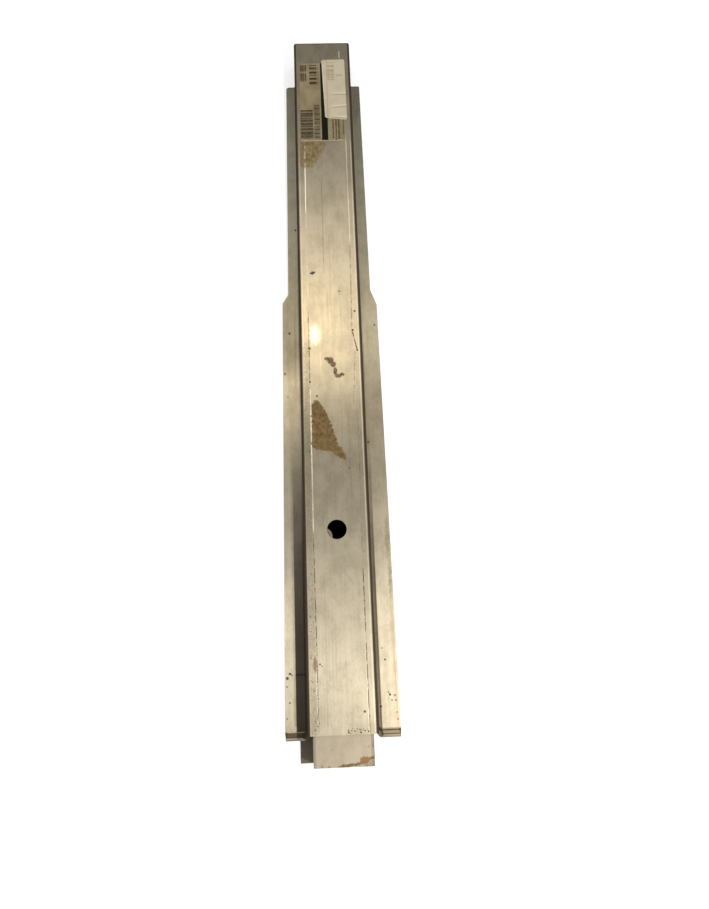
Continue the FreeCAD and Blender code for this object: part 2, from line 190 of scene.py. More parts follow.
# %% The finish kit
class Finish:
    """A material being made: its nodes, its shader and the place on the part in millimetres."""

    def __init__(self, name):
        self.material = bpy.data.materials.new(name)
        self.material.use_nodes = True
        self.tree = self.material.node_tree
        self.shader = self.tree.nodes["Principled BSDF"]
        spot = self.tree.nodes.new("ShaderNodeTexCoord").outputs["Object"]
        self.place = self.mapped(spot, (1000, 1000, 1000))
        split = self.tree.nodes.new("ShaderNodeSeparateXYZ")
        self.feed(split.inputs[0], self.place)
        self.x, self.y, self.z = split.outputs

    def feed(self, socket, value):
        """Gives a socket a number, a colour, or what another node puts out."""
        if isinstance(value, bpy.types.NodeSocket):
            self.tree.links.new(value, socket)
        else:
            socket.default_value = value

    def mapped(self, vector, scale=(1, 1, 1), turn=0.0, shift=(0, 0, 0)):
        """A place stretched, turned about Z by some degrees, and shifted."""
        node = self.tree.nodes.new("ShaderNodeMapping")
        self.feed(node.inputs["Vector"], vector)
        node.inputs["Scale"].default_value = scale
        node.inputs["Rotation"].default_value = (0, 0, math.radians(turn))
        node.inputs["Location"].default_value = shift
        return node.outputs[0]

    def calc(self, operation, first, second=0.0):
        """One sum of two values."""
        node = self.tree.nodes.new("ShaderNodeMath")
        node.operation = operation
        self.feed(node.inputs[0], first)
        self.feed(node.inputs[1], second)
        return node.outputs[0]

    def times(self, first, *others):
        """Several values multiplied."""
        for other in others:
            first = self.calc("MULTIPLY", first, other)
        return first

    def most(self, first, *others):
        """The largest of several values."""
        for other in others:
            first = self.calc("MAXIMUM", first, other)
        return first

    def slope(self, value, low, high, bottom=0.0, top=1.0):
        """Rises smoothly from bottom to top while the value goes from low to high."""
        node = self.tree.nodes.new("ShaderNodeMapRange")
        node.interpolation_type = "SMOOTHSTEP"
        self.feed(node.inputs["Value"], value)
        for name, number in (("From Min", low), ("From Max", high), ("To Min", bottom), ("To Max", top)):
            node.inputs[name].default_value = number
        return node.outputs[0]

    def scaled(self, value, low, high):
        """0 at low and 1 at high, in a straight line."""
        node = self.tree.nodes.new("ShaderNodeMapRange")
        self.feed(node.inputs["Value"], value)
        node.inputs["From Min"].default_value = low
        node.inputs["From Max"].default_value = high
        return node.outputs[0]

    def between(self, value, low, high, soft=0.5):
        """1 where the value lies between low and high, with soft ends."""
        rise = self.slope(value, low - soft, low + soft)
        fall = self.slope(value, high - soft, high + soft, 1.0, 0.0)
        return self.times(rise, fall)

    def noise(self, scale, detail=3.0, turn=0.0, shift=(0, 0, 0), rough=0.5):
        """Cloudy noise; scale is how many waves there are to a millimetre along X, Y and Z."""
        node = self.tree.nodes.new("ShaderNodeTexNoise")
        self.feed(node.inputs["Vector"], self.mapped(self.place, scale, turn, shift))
        node.inputs["Scale"].default_value = 1.0
        node.inputs["Detail"].default_value = detail
        node.inputs["Roughness"].default_value = rough
        return node.outputs["Fac"]

    def layer(self, under, colour, amount):
        """A colour laid over another by an amount from 0 to 1."""
        node = self.tree.nodes.new("ShaderNodeMix")
        node.data_type = "RGBA"
        self.feed(node.inputs["Factor"], amount)
        self.feed(node.inputs[6], under)
        self.feed(node.inputs[7], colour)
        return node.outputs[2]

    def darken(self, under, factor):
        """A colour times a grey."""
        node = self.tree.nodes.new("ShaderNodeMix")
        node.data_type = "RGBA"
        node.blend_type = "MULTIPLY"
        node.inputs["Factor"].default_value = 1.0
        self.feed(node.inputs[6], under)
        self.feed(node.inputs[7], factor)
        return node.outputs[2]

    def box(self, left, right, low, high, soft=0.4, soft_y=None):
        """1 inside a box on the sheet, with soft sides and, if asked for, other ends."""
        wide = self.between(self.x, left, right, soft)
        tall = self.between(self.y, low, high, soft if soft_y is None else soft_y)
        return self.times(wide, tall)

    def give(self, name, value):
        """Gives one socket of the shader a value."""
        self.feed(self.shader.inputs[name], value)

    def relief(self, height, strength=1.0):
        """Turns a height in millimetres into a bump."""
        node = self.tree.nodes.new("ShaderNodeBump")
        node.inputs["Distance"].default_value = 0.001
        node.inputs["Strength"].default_value = strength
        self.feed(node.inputs["Height"], height)
        self.tree.links.new(node.outputs[0], self.shader.inputs["Normal"])


print("finish kit ready")

# %% [markdown]
# ## The floor's finish
#
# The floor could be a plain pale grey, but then the picture's background would not be white. So it
# glows a little for rays that come straight from the camera. Under the beam a dark box on it
# stands for the shade of the hollow, because light would otherwise creep in under the sheet.

# %% Floor finish
HOLLOW_HALF_WIDTH = 33.0
HOLLOW_HALF_LENGTH = 425.0
FLOOR_PALE = shade(232, 232, 232)
HOLLOW_DARK = shade(8, 8, 6)

floor_finish = Finish("floor_white")
under_hollow = floor_finish.box(-HOLLOW_HALF_WIDTH, HOLLOW_HALF_WIDTH,
                                -HOLLOW_HALF_LENGTH, HOLLOW_HALF_LENGTH, 2.0, 4.0)
outside = floor_finish.calc("SUBTRACT", 1.0, under_hollow)
glow = floor_finish.times(outside, seen_directly(floor_finish.tree), FLOOR_GLOW)
floor_colour = floor_finish.layer(FLOOR_PALE, HOLLOW_DARK, under_hollow)
floor_finish.give("Base Color", floor_colour)
floor_finish.give("Roughness", 0.9)
floor_finish.give("Specular IOR Level", 0.0)
floor_finish.give("Emission Color", PAPER_WHITE)
floor_finish.give("Emission Strength", glow)
floor_mesh.materials.append(floor_finish.material)
print("floor finish:", floor_finish.material.name)

# %% [markdown]
# ## Bare steel
#
# Sheet steel looks the way it does because of how it was made. Rolling leaves long fine streaks,
# and an oil film dries in clouds. This cell mixes the two into one slowly changing tone, with far
# more waves across the streaks than along them. The same base serves both channels, and each then
# gets its own wear.

# %% Base of the steel
def rolled_base(finish, pale, dull):
    """Two tones of steel, mixed by clouds of oil film and by the streaks of rolling."""
    clouds = finish.noise((0.06, 0.035, 0.03), detail=7.0, rough=0.66)
    streaks = finish.noise((0.5, 0.008, 0.3), detail=4.0, rough=0.6)
    grain = finish.noise((0.6, 0.3, 0.5), detail=3.0, rough=0.7)
    cloud_share = finish.slope(clouds, 0.32, 0.64, 0.0, 0.6)
    streak_share = finish.slope(streaks, 0.3, 0.7, 0.0, 0.15)
    grain_share = finish.slope(grain, 0.3, 0.7, 0.0, 0.25)
    share = finish.calc("ADD", finish.calc("ADD", cloud_share, streak_share), grain_share)
    return finish.layer(dull, pale, share), streaks


STEEL_PALE = shade(240, 226, 196)
STEEL_DULL = shade(204, 192, 165)
STEEL_METALLIC = 0.55

outer = Finish("outer_steel_rolled")
steel_colour, streaks = rolled_base(outer, STEEL_PALE, STEEL_DULL)
print("steel base mixed")

# %% [markdown]
# ## Painted light along the beam
#
# The sheet is not one tone from end to end, and these tones are painted light: the bright and dark
# reflections along the beam. They are dark near the plain end, bright over the upper middle, dull below
# the middle and bright again towards the lips. A colour ramp read along Y holds those tones as greys,
# and they multiply the base. The web and each flange have a ramp of their own.

# %% Painted light on the web and flanges
def tone_ramp(finish, value, low, high, stops):
    """Greys along a line: stops are places in millimetres, each with its grey from 0 to 1."""
    node = finish.tree.nodes.new("ShaderNodeValToRGB")
    finish.feed(node.inputs["Fac"], finish.scaled(value, low, high))
    bands = node.color_ramp.elements
    bands.remove(bands[1])
    for number, (place, grey) in enumerate(stops):
        at = (place - low) / (high - low)
        band = bands[0] if number == 0 else bands.new(at)
        band.position = at
        band.color = (grey, grey, grey, 1.0)
    return node.outputs["Color"]


# Painted light: greys for the bright and dark reflections along the web and along each flange.
WEB_PAINTED_LIGHT = [(-450, 0.63), (-415, 0.66), (-360, 0.84), (-320, 0.72), (-290, 0.64), (-240, 0.54),
             (-200, 0.43), (-160, 0.37), (-120, 0.35), (-90, 0.41), (-70, 0.45), (-50, 0.53),
             (-30, 0.65), (0, 0.71), (60, 0.7), (120, 0.7), (160, 0.655), (200, 0.555), (240, 0.44),
             (285, 0.375), (400, 0.27), (450, 0.235)]
LEFT_PAINTED_LIGHT = [(-425, 0.72), (-370, 0.9), (-320, 1.0), (-280, 0.84), (-240, 0.6), (-200, 0.53),
              (-150, 0.45), (-100, 0.54), (-60, 0.64), (-18, 0.7), (5, 0.45), (25, 0.36),
              (120, 0.42), (200, 0.47), (280, 0.4), (400, 0.31)]
RIGHT_PAINTED_LIGHT = [(-425, 0.72), (-360, 0.88), (-280, 0.94), (-240, 0.72), (-200, 0.62), (-150, 0.47),
               (-60, 0.39), (-20, 0.44), (20, 0.56), (60, 0.6), (120, 0.48), (200, 0.4),
               (280, 0.36), (400, 0.22)]
RAMP_END = 455
COOL_TINT = (0.93, 0.98, 1.0, 1.0)
NO_TINT = (1.0, 1.0, 1.0, 1.0)

web_painted_light = tone_ramp(outer, outer.y, -RAMP_END, RAMP_END, WEB_PAINTED_LIGHT)
left_painted_light = tone_ramp(outer, outer.y, -RAMP_END, RAMP_END, LEFT_PAINTED_LIGHT)
right_painted_light = tone_ramp(outer, outer.y, -RAMP_END, RAMP_END, RIGHT_PAINTED_LIGHT)
flange_painted_light = outer.layer(left_painted_light, right_painted_light, outer.slope(outer.x, -1.0, 1.0))
cool = outer.layer(NO_TINT, COOL_TINT, outer.slope(outer.y, -60.0, 40.0))
flange_painted_light = outer.darken(flange_painted_light, cool)
on_web = outer.slope(outer.z, 36.0, 39.0)
painted_light_tone = outer.layer(flange_painted_light, web_painted_light, on_web)
steel_colour = outer.darken(steel_colour, painted_light_tone)
print("tones:", len(WEB_PAINTED_LIGHT), "on the web,", len(LEFT_PAINTED_LIGHT) + len(RIGHT_PAINTED_LIGHT), "on the flanges")

# %% [markdown]
# ## Walls and bends
#
# The walls and the crown bends at the web's edges are painted dark brown beside the flats: painted
# shade, for the sides that turn away from the light. Height picks out the walls, and the distance from
# the middle picks out the bends, so no piece of the solid has to be cut apart for its own material. Low
# on the right wall, towards the lips, a band is left paler: painted light where that wall catches it.

# %% Darken the walls and crown bends
WALL_SHADE_BROWN = shade(66, 54, 41)
WALL_SHARE = 0.95
WALL_LIGHT_SHARE = 0.5

from_middle = outer.calc("ABSOLUTE", outer.x)
crown = outer.slope(from_middle, 33.9, 35.2)
crown = outer.times(crown, outer.slope(outer.z, 30.0, 34.0))
wall_height = outer.between(outer.z, 2.2, 37.0, 0.6)
wall = outer.times(wall_height, outer.calc("LESS_THAN", from_middle, 41.2))
# Painted shade on the walls and crown bends.
drawn = outer.times(outer.most(crown, wall), WALL_SHARE)
near_end = outer.slope(outer.y, -300.0, -180.0, 1.0, 0.0)
# Painted light: a paler band low on the right wall, towards the lips.
wall_light_band = outer.times(outer.between(outer.z, 11.0, 27.0, 2.0), outer.slope(outer.x, 30.0, 34.0))
wall_light_band = outer.times(wall_light_band, near_end, WALL_LIGHT_SHARE)
drawn = outer.calc("SUBTRACT", drawn, wall_light_band)
steel_colour = outer.layer(steel_colour, WALL_SHADE_BROWN, drawn)
print("walls and crown bends darkened")

# %% [markdown]
# ## Foot bends and the painted shadow
#
# Towards the lips, the corners where the walls meet the flanges get painted shade, and on the left
# flange the web's shadow is painted beside the wall. Both are bands along the beam that fade out
# upwards, so each is a soft step across X times a slow slope along Y.

# %% Darken the foot bends and paint the shadow
SHADOW_BROWN = shade(64, 57, 50)
FOOT_SHARE = 0.85
SHADOW_SHARE = 0.9

# Painted shade in the corners where the walls meet the flanges.
near_flange = outer.slope(outer.z, 8.0, 5.0)
left_foot = outer.slope(outer.x, -40.6, -41.8, 1.0, 0.0)
left_foot = outer.times(left_foot, outer.slope(outer.x, -1.0, 1.0, 1.0, 0.0))
right_foot = outer.between(outer.x, 39.4, 42.9, 0.5)
foot = outer.times(outer.most(left_foot, right_foot), near_flange)
foot = outer.times(foot, outer.slope(outer.y, -40.0, -280.0, 0.0, FOOT_SHARE))
steel_colour = outer.layer(steel_colour, WALL_SHADE_BROWN, foot)
# Painted shadow of the web on the left flange, beside the wall.
painted_shadow = outer.times(outer.between(outer.x, -51.0, -39.0, 0.6), outer.slope(outer.z, 1.8, 3.0, 1.0, 0.0))
painted_shadow = outer.times(painted_shadow, outer.slope(outer.y, -330.0, -50.0, SHADOW_SHARE, 0.0))
steel_colour = outer.layer(steel_colour, SHADOW_BROWN, painted_shadow)
print("foot bends and film darkened")

# %% [markdown]
# ## Crease lines
#
# Two fine lines run along the web, a little inside its edges. They are where the edge of the punch's
# raised pad pressed the sheet. The left one is straight. The right one slants out to a small notch below
# the middle, and starts again nearer the centre. Each is a thin valley in the bump, dark where dirt
# fills it, with a painted highlight beside it. A list of runs says where each of the two shows, and some
# runs paint a highlight alone, two of them along the web's edges.

# %% Draw the crease lines
def line_offset(finish, start, end):
    """How far a point is to the right of a line along the web, in millimetres."""
    run = (end[0] - start[0]) / (end[1] - start[1])
    across = finish.times(finish.calc("SUBTRACT", finish.y, start[1]), -run)
    return finish.calc("SUBTRACT", finish.calc("ADD", finish.x, across), start[0])


def near_line(finish, offset, middle, width):
    """1 on a line, falling smoothly to 0 a width away."""
    away = finish.calc("ABSOLUTE", finish.calc("SUBTRACT", offset, middle))
    return finish.slope(away, width * 0.3, width, 1.0, 0.0)


LINE_WIDTH = 0.85
# Each run has its start, its end, how dark its dirt is and how bright its painted highlight.
CREASE_RUNS = [((-25.9, 302), (-26.5, 195), 0.0, 1.0),
               ((-26.5, 195), (-26.3, 60), 0.2, 0.35),
               ((-26.3, 60), (-26.2, -40), 0.6, 0.0),
               ((-26.2, -40), (-26.5, -210), 0.25, 0.95),
               ((-26.5, -210), (-25.3, -422), 0.75, 0.0),
               ((27.5, 302), (27.5, 150), 0.0, 0.5),
               ((27.5, 150), (26.0, 34), 0.45, 0.0),
               ((26.0, 34), (30.9, 9), 0.95, 0.0),
               ((28.6, 8), (24.5, -60), 0.35, 0.0),
               ((28.2, -60), (27.4, -250), 0.15, 0.0),
               ((27.4, -250), (27.7, -422), 0.75, 0.0),
               ((33.2, 300), (33.0, -420), 0.0, 0.3),
               ((-33.0, 290), (-33.0, -60), 0.0, 0.25),
               ((22.9, 441), (23.0, 430), 0.0, 0.4)]

web_face = outer.times(outer.slope(outer.z, 39.3, 39.8), outer.slope(outer.y, -421.5, -420.5))
wander = outer.slope(outer.noise((0.0, 0.03, 0.0), detail=3.0), 0.2, 0.8, -0.2, 0.2)
dirt_line = crease_highlight = 0.0
for start, end, dark, bright in CREASE_RUNS:
    soft = min(10.0, (start[1] - end[1]) / 12)
    here = outer.times(outer.between(outer.y, end[1], start[1], soft), web_face)
    offset = outer.calc("ADD", line_offset(outer, start, end), wander)
    if dark:
        drawn_line = outer.times(near_line(outer, offset, 0.0, LINE_WIDTH), here)
        dirt_line = outer.most(dirt_line, outer.times(drawn_line, dark))
    if bright:
        # The bright side of a run is a painted highlight.
        beside = outer.times(near_line(outer, offset, 0.2, LINE_WIDTH), here)
        crease_highlight = outer.most(crease_highlight, outer.times(beside, bright))
print("crease lines:", len(CREASE_RUNS), "runs")

# %% [markdown]
# ## Long marks
#
# Dragging over a bench leaves faint marks, some along the beam and a few that slant. They could be
# noise, but noise looks the same all over, and these are few and each lies somewhere. So each one
# is a soft line of its own, made with the crease lines' helpers.

# %% Long marks on the web
MARK_OLIVE = shade(96, 86, 68)
# Each mark has its start, its end, its half width and how dark it is.
LONG_MARKS = [((-5.5, 245), (-6.0, 120), 1.0, 0.3), ((6.6, -253.1), (16.1, -267.0), 0.7, 0.4),
              ((-9.8, -278.3), (-1.0, -287.2), 0.7, 0.25), ((12.0, -236.0), (19.0, -246.5), 0.6, 0.2),
              ((2.0, 170), (1.0, 60), 1.4, 0.12), ((-16, -420), (-15.5, -260), 1.2, 0.12),
              ((17.5, -70), (18, -190), 1.5, 0.15), ((9.5, -40), (9, -150), 1.0, 0.12)]

long_marks = 0.0
for start, end, width, amount in LONG_MARKS:
    here = outer.between(outer.y, min(start[1], end[1]), max(start[1], end[1]), 12.0)
    mark = near_line(outer, line_offset(outer, start, end), 0.0, width)
    long_marks = outer.most(long_marks, outer.times(mark, here, amount))
steel_colour = outer.layer(steel_colour, MARK_OLIVE, outer.times(long_marks, web_face))
print("long marks:", len(LONG_MARKS))

# %% [markdown]
# ## Dirt and painted highlights
#
# A line of one strength would look ruled. Dirt sits in a crease in dashes, so a noise with short waves
# along the beam breaks the dark line up, and one with long waves lets the painted highlight fade in and
# out. The dark goes on last, over the painted highlight.

# %% Colour the crease lines
DIRT_AND_SHADE = shade(58, 50, 36)
HIGHLIGHT_PALE = shade(255, 246, 220)

dashes = outer.noise((0.05, 0.16, 0.0), detail=4.0, shift=(3, 1, 0))
dirt_line = outer.times(dirt_line, outer.slope(dashes, 0.42, 0.52, 0.25, 1.0))
fading = outer.noise((0.02, 0.02, 0.0), detail=4.0, shift=(8, 2, 0))
crease_highlight = outer.times(crease_highlight, outer.slope(fading, 0.3, 0.55, 0.5, 1.0))
# Painted highlight beside the creases and along the web's edges.
steel_colour = outer.layer(steel_colour, HIGHLIGHT_PALE, crease_highlight)
steel_colour = outer.layer(steel_colour, DIRT_AND_SHADE, dirt_line)
print("crease lines coloured")

# %% [markdown]
# ## Rust and stains
#
# Rust starts where water stood: under the label's edge, in a patch beside the left crease, in a
# broken streak across the web and in small spots. These could be painted by hand on an unwrapped
# map. Here each one is worked out from its place instead: a rough outline of straight cuts or an
# oval, with noise added to the place beforehand, which makes the edge ragged.

# %% Helpers for patches
def ragged(finish, size, pitch):
    """The place on the sheet, pushed about by noise so that outlines drawn from it look torn."""
    push_x = finish.noise((pitch, pitch, 0.0), detail=5.0, rough=0.7)
    push_x = finish.slope(push_x, 0.2, 0.8, -size, size)
    push_y = finish.noise((pitch, pitch, 0.0), detail=5.0, rough=0.7, shift=(7, 3, 0))
    push_y = finish.slope(push_y, 0.2, 0.8, -size, size)
    return finish.calc("ADD", finish.x, push_x), finish.calc("ADD", finish.y, push_y)


def patch(finish, x, y, corners, soft=0.6):
    """1 inside a convex outline given by its corners, in order against the clock."""
    inside = None
    for first, last in zip(corners, corners[1:] + corners[:1]):
        run = Vector((last[0] - first[0], last[1] - first[1])).normalized()
        left_x = finish.times(finish.calc("SUBTRACT", x, first[0]), -run.y)
        left_y = finish.times(finish.calc("SUBTRACT", y, first[1]), run.x)
        side = finish.slope(finish.calc("ADD", left_x, left_y), -soft, soft)
        inside = side if inside is None else finish.times(inside, side)
    return inside


def spot(finish, x, y, middle, radii, soft=0.4):
    """1 inside an oval."""
    across = finish.calc("DIVIDE", finish.calc("SUBTRACT", x, middle[0]), radii[0])
    along = finish.calc("DIVIDE", finish.calc("SUBTRACT", y, middle[1]), radii[1])
    away = finish.calc("ADD", finish.times(across, across), finish.times(along, along))
    return finish.slope(away, 1.0 - soft, 1.0 + soft, 1.0, 0.0)


def either(finish, masks):
    """The largest of several masks, each joined as soon as it is made, so that few values wait."""
    total = 0.0
    for mask in masks:
        total = finish.most(total, mask)
    return total


def round_spots(finish, flat_place, spots):
    """1 inside any of many round spots, each given as its x, y and radius."""
    for x, y, radius in spots:
        node = finish.tree.nodes.new("ShaderNodeVectorMath")
        node.operation = "DISTANCE"
        finish.feed(node.inputs[0], flat_place)
        node.inputs[1].default_value = (x, y, 0)
        yield finish.slope(node.outputs["Value"], radius * 0.6, radius * 1.3, 1.0, 0.0)


print("patch helpers ready")

# %% [markdown]
# ## The big patch and the stain
#
# The big patch hangs on the left crease and ends in a tail. An outline has to be convex to be cut
# by straight lines, so the patch is two outlines laid together. The stain under the label is more
# see-through, and in both a second noise mottles the brown.

# %% Rust patches on the web
RUST_TAN = shade(138, 115, 78)
RUST_BROWN = shade(100, 81, 53)
RUST_DARK = shade(58, 46, 31)
STAIN_BROWN = shade(112, 90, 58)
STAIN_OLIVE = shade(140, 121, 82)

PATCH_OUTLINE = [(-24.8, -60), (-25.4, -111.5), (-7.3, -116), (6.5, -114), (1.5, -97), (-2.9, -82),
                 (-10.5, -64), (-17.5, -54), (-20.5, -54)]
PATCH_TAIL = [(-7.3, -115), (1.7, -121), (9.5, -128), (14.5, -126), (7.8, -111), (-2.0, -106)]
STAIN_OUTLINE = [(-32, 300), (-31.5, 262), (-15, 260), (-8.5, 273), (1.5, 287), (1.5, 300)]

web_x, web_y = ragged(outer, 2.2, 0.32)
patch_parts = (patch(outer, web_x, web_y, outline) for outline in (PATCH_OUTLINE, PATCH_TAIL))
big_patch = either(outer, patch_parts)
label_stain = patch(outer, web_x, web_y, STAIN_OUTLINE, 2.0)
mottle = outer.slope(outer.noise((0.24, 0.16, 0.0), detail=5.0, rough=0.7), 0.3, 0.7)
rust_colour = outer.layer(RUST_BROWN, RUST_TAN, mottle)
steel_colour = outer.layer(steel_colour, rust_colour, outer.times(big_patch, web_face))
stain_amount = outer.times(outer.slope(mottle, 0.0, 1.0, 1.0, 0.5), label_stain)
stain_colour = outer.layer(STAIN_BROWN, STAIN_OLIVE, mottle)
steel_colour = outer.layer(steel_colour, stain_colour, outer.times(stain_amount, web_face))
print("patches: big patch with its tail, stain under the label")

# %% [markdown]
# ## Worn strips
#
# Between a crease and the edge of the web the sheet was pinched in the tool and has gone grey and
# mottled. A fine soft noise shows through a few long boxes. Its steps are gentle on purpose: a
# hard threshold would break it into marks that the eye tries to read.

# %% Worn strips beside the creases
WORN_OLIVE = shade(104, 94, 70)
# Each strip has its left and right, its low and high end, and how strong it is.
WORN_STRIPS = [(-34.0, -27.0, -421, 25, 0.55), (27.5, 33.0, -250, 0, 0.25),
               (-34.0, -27.0, 240, 300, 0.5), (27.0, 33.0, 225, 300, 0.4)]

scuffs = outer.slope(outer.noise((0.8, 0.35, 0.0), detail=8.0, rough=0.8, shift=(1, 5, 0)), 0.36, 0.68)
for left, right, low, high, amount in WORN_STRIPS:
    area = outer.box(left, right, low, high, 1.5, 12.0)
    steel_colour = outer.layer(steel_colour, WORN_OLIVE, outer.times(area, web_face, amount, scuffs))
print("worn strips:", len(WORN_STRIPS))

# %% [markdown]
# ## Streak and spots
#
# The broken streak across the web is a string of ovals with torn edges. The small spots are plain
# circles, and there are many of them, so they take one distance node each. Their places are
# written down, because a scattered texture would not leave the rest of the sheet clean.

# %% Broken streak and spots
STREAK_BLOBS = [((-5.2, -2.2), (3.2, 2.1)), ((-1.2, -4.5), (3.6, 4.2)), ((2.0, -9.5), (3.1, 3.3)),
                ((4.2, -18.5), (2.1, 5.0)), ((7.5, -24.2), (4.0, 2.2)), ((12.0, -22.4), (2.9, 1.8))]
WEB_SPOTS = [(-19.9, 111.2, 2.1), (-18.0, 112.0, 1.4), (-22.2, 110.6, 1.0), (11.3, 86, 0.8),
             (12.8, 85.6, 0.7), (29.8, 58.8, 1.3), (-25.7, 11.5, 1.4), (-26.1, -30.9, 1.2),
             (-18.3, -48.6, 1.2), (26.6, 33.9, 1.4), (23.2, -400.3, 1.3), (-22.6, -351, 1.0),
             (-20.5, -353, 0.7), (31.2, 8.0, 1.3), (7.0, -135, 0.6), (16.5, -137, 0.8),
             (5.5, -418.3, 0.8), (8.9, -418.5, 0.6), (5.8, -420.3, 1.0), (12.2, -419.2, 0.8),
             (14.5, -417.1, 0.6), (18.4, -420.6, 1.0), (22.6, -419.0, 0.8), (26.3, -419.8, 0.9),
             (10.0, -416.6, 0.5), (21.2, -417.3, 0.5), (-29.5, -416.9, 0.7), (-26.4, -413.2, 0.7)]
FLANGE_SPOTS = [(-41.8, 194.9, 1.4), (-51.7, 49, 1.3), (-58, -5, 1.2), (-54.8, -35.3, 0.9),
                (-57.3, -361, 1.5), (-60.3, -365.6, 1.8), (-55.0, -362.5, 0.9), (-60.8, -374.6, 0.9),
                (-57.8, -391.6, 1.0), (-61.0, -408, 0.8), (46.5, -337, 0.8), (49.2, -349.5, 1.1),
                (53, -387, 1.3), (51.5, -384.5, 0.7), (58.5, -387.8, 0.9), (59.3, -393, 1.0),
                (54.9, -392.9, 0.8), (59.8, -405.6, 0.8), (60.5, -412.9, 0.9), (41.2, -95.8, 1.2),
                (55.8, 57.5, 1.2), (42.5, -399, 1.2)]
STREAK_SHARE = 0.9
SPOT_SHARE = 0.85

torn_x, torn_y = ragged(outer, 0.9, 0.6)
blobs = (spot(outer, torn_x, torn_y, middle, radii, 0.7) for middle, radii in STREAK_BLOBS)
blobs = either(outer, blobs)
crumbs = outer.slope(outer.noise((0.6, 0.6, 0.0), detail=3.0, shift=(5, 9, 0)), 0.38, 0.5, 0.55, 1.0)
broken_streak = outer.times(blobs, crumbs, STREAK_SHARE)
flat_place = outer.mapped(outer.place, (1, 1, 0))
small_spots = either(outer, round_spots(outer, flat_place, WEB_SPOTS + FLANGE_SPOTS))
small_spots = outer.times(small_spots, SPOT_SHARE)
steel_colour = outer.layer(steel_colour, RUST_BROWN, broken_streak)
dark_rust = outer.most(outer.times(broken_streak, 0.35), small_spots)
print("streak blobs:", len(STREAK_BLOBS), "spots:", len(WEB_SPOTS) + len(FLANGE_SPOTS))

# %% [markdown]
# ## Speckled edges and seams
#
# Along the left edge, at the seam and round the crack in the left flange the rust sits in pinpricks.
# A Voronoi texture gives one round dot to a cell, and noise makes some larger than others and
# leaves many cells empty. A list of boxes says where they show, and how strongly.

# %% Speckled edges and seams
def dots(finish, scale, size):
    """Small round dots of uneven size, scattered over the surface."""
    node = finish.tree.nodes.new("ShaderNodeTexVoronoi")
    finish.feed(node.inputs["Vector"], finish.mapped(finish.place, scale))
    node.inputs["Scale"].default_value = 1.0
    uneven = finish.noise((0.3, 0.15, 0.0), detail=3.0, shift=(2, 6, 0))
    uneven = finish.slope(uneven, 0.4, 0.65, 0.0, size)
    return finish.slope(finish.calc("SUBTRACT", node.outputs["Distance"], uneven), 0.1, -0.1)


SPECKLED = [(-33.0, -24.5, -421, -290, 0.75), (-33.0, -27.5, -290, 20, 0.55),
            (-30.0, -25.6, -362, -338, 0.9), (3, 30, -423, -415, 0.8), (-31, -24, -421, -404, 0.8),
            (-62.5, -54, -369, -357, 0.8), (-20, 24, -418, -345, 0.2), (26, 31, -240, -10, 0.3),
            (50, 61.5, -395, -380, 0.6)]

flecks = dots(outer, (0.62, 0.5, 0.0), 0.36)
for left, right, low, high, amount in SPECKLED:
    area = outer.box(left, right, low, high, 1.2, 3.0)
    dark_rust = outer.most(dark_rust, outer.times(area, flecks, amount))
crack = outer.times(near_line(outer, torn_y, -362.3, 1.9), outer.between(outer.x, -51, -39.5, 1.0))
dark_rust = outer.most(dark_rust, outer.times(crack, outer.slope(flecks, 0.0, 1.0, 0.6, 1.0)))
steel_colour = outer.layer(steel_colour, RUST_DARK, dark_rust)
rust_area = outer.most(outer.times(big_patch, web_face), dark_rust)
print("speckled areas:", len(SPECKLED))

# %% [markdown]
# ## Lighter rust
#
# Fresh rust is orange, and it follows the right flange near its outer edge in a thin broken line.
# An older smear lies beside the left crease, and two olive stains on the right flange. They go on
# after the dark rust, with the same lines and ovals as before.

# %% Rust beside the crease and on the right flange
RUST_ORANGE = shade(196, 150, 104)
RUST_SMEAR = shade(128, 98, 66)
OLIVE_STAIN = shade(122, 120, 88)

flange_offset = line_offset(outer, (58.2, -200), (60.3, -420))
flange_line = outer.times(near_line(outer, flange_offset, 0.0, 1.6), outer.slope(outer.y, -260, -330))
line_breaks = outer.slope(outer.noise((0.1, 0.06, 0.0), detail=4.0), 0.35, 0.6, 0.2, 0.6)
steel_colour = outer.layer(steel_colour, RUST_ORANGE, outer.times(flange_line, line_breaks))
crease_rust = spot(outer, torn_x, torn_y, (-27.5, -351), (2.2, 8.0), 0.8)
crease_rust = outer.times(crease_rust, web_face, 0.75)
steel_colour = outer.layer(steel_colour, RUST_SMEAR, crease_rust)
upper_stain = spot(outer, web_x, web_y, (58.5, -212), (2.4, 24), 0.9)
lower_stain = spot(outer, web_x, web_y, (59.5, -258), (2.0, 20), 0.9)
stained = outer.most(upper_stain, lower_stain)
steel_colour = outer.layer(steel_colour, OLIVE_STAIN, outer.times(stained, 0.5))
print("lighter rust drawn")

# %% [markdown]
# ## Lips
#
# Each flange ends in a lip, bent up through a right angle. Its bend carries a painted highlight, and
# painted shade lies in the corner above it. Further up come the face, a dark band of painted shade, and
# a bright band of painted highlight under a dark rim. Height alone tells those apart. The right lip is
# painted beige, as lit, and the left one brown, as shaded.

# %% Colour the lips
LIP_LIT_BEIGE = shade(234, 218, 198)
LIP_SHADED_BROWN = shade(120, 108, 94)
LIP_SHADE = shade(92, 80, 66)
BEND_HIGHLIGHT = shade(212, 200, 174)
EDGE_HIGHLIGHT = shade(255, 250, 238)

past_wall = outer.calc("GREATER_THAN", from_middle, 40.5)
on_lip = outer.times(outer.slope(outer.y, -421.6, -423.0), past_wall)
right_side = outer.calc("GREATER_THAN", outer.x, 0.0)
# The right lip's face is painted as lit and the left one's as shaded.
lip_face = outer.layer(LIP_SHADED_BROWN, LIP_LIT_BEIGE, right_side)
